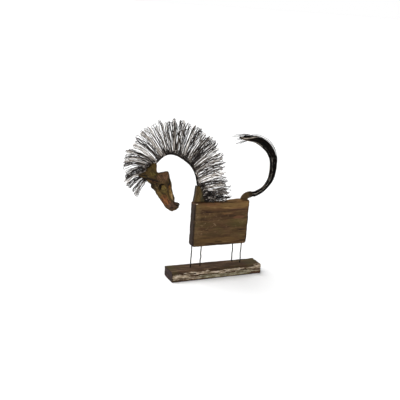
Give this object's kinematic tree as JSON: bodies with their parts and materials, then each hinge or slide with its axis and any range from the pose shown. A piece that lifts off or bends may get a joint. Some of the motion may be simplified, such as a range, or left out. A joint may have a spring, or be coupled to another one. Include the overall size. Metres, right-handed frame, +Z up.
{
  "type": "wire horse sculpture",
  "caption": "Standing horse of weathered board and wire: arched neck with a looped wire mane, carved wood head, curved wire tail, thin wire legs on a plank base.",
  "frame": {"origin": "centre of the base plank's underside", "axes": "+X towards the tail, so the horse faces -X; +Y through the board's thickness, away from the side that the picture shows; +Z up"},
  "size_m": [0.4173, 0.053, 0.4012],
  "materials": {
    "plank_wood": "weathered, with flaking pale paint on the front",
    "board_wood": "weathered, waxed",
    "stub_wood": "weathered, waxed",
    "head_wood": "carved, stained and waxed",
    "leg_steel": "dark annealed wire",
    "neck_steel": "black annealed rod",
    "mane_steel": "annealed wire, part dark and part bright",
    "tail_steel": "black annealed fine wire"
  },
  "bodies": {
    "root": {"base_plank": "plank_wood", "leg_wire_1": "leg_steel", "leg_wire_2": "leg_steel", "leg_wire_3": "leg_steel", "leg_wire_4": "leg_steel", "body_board": "board_wood", "neck_stub": "stub_wood", "neck_core": "neck_steel", "head": "head_wood", "mane_1": "mane_steel", "mane_2": "mane_steel", "mane_3": "mane_steel", "mane_4": "mane_steel", "mane_5": "mane_steel", "mane_6": "mane_steel", "mane_7": "mane_steel", "tail_dock": "stub_wood", "tail": "tail_steel"}
  },
  "joints": []
}
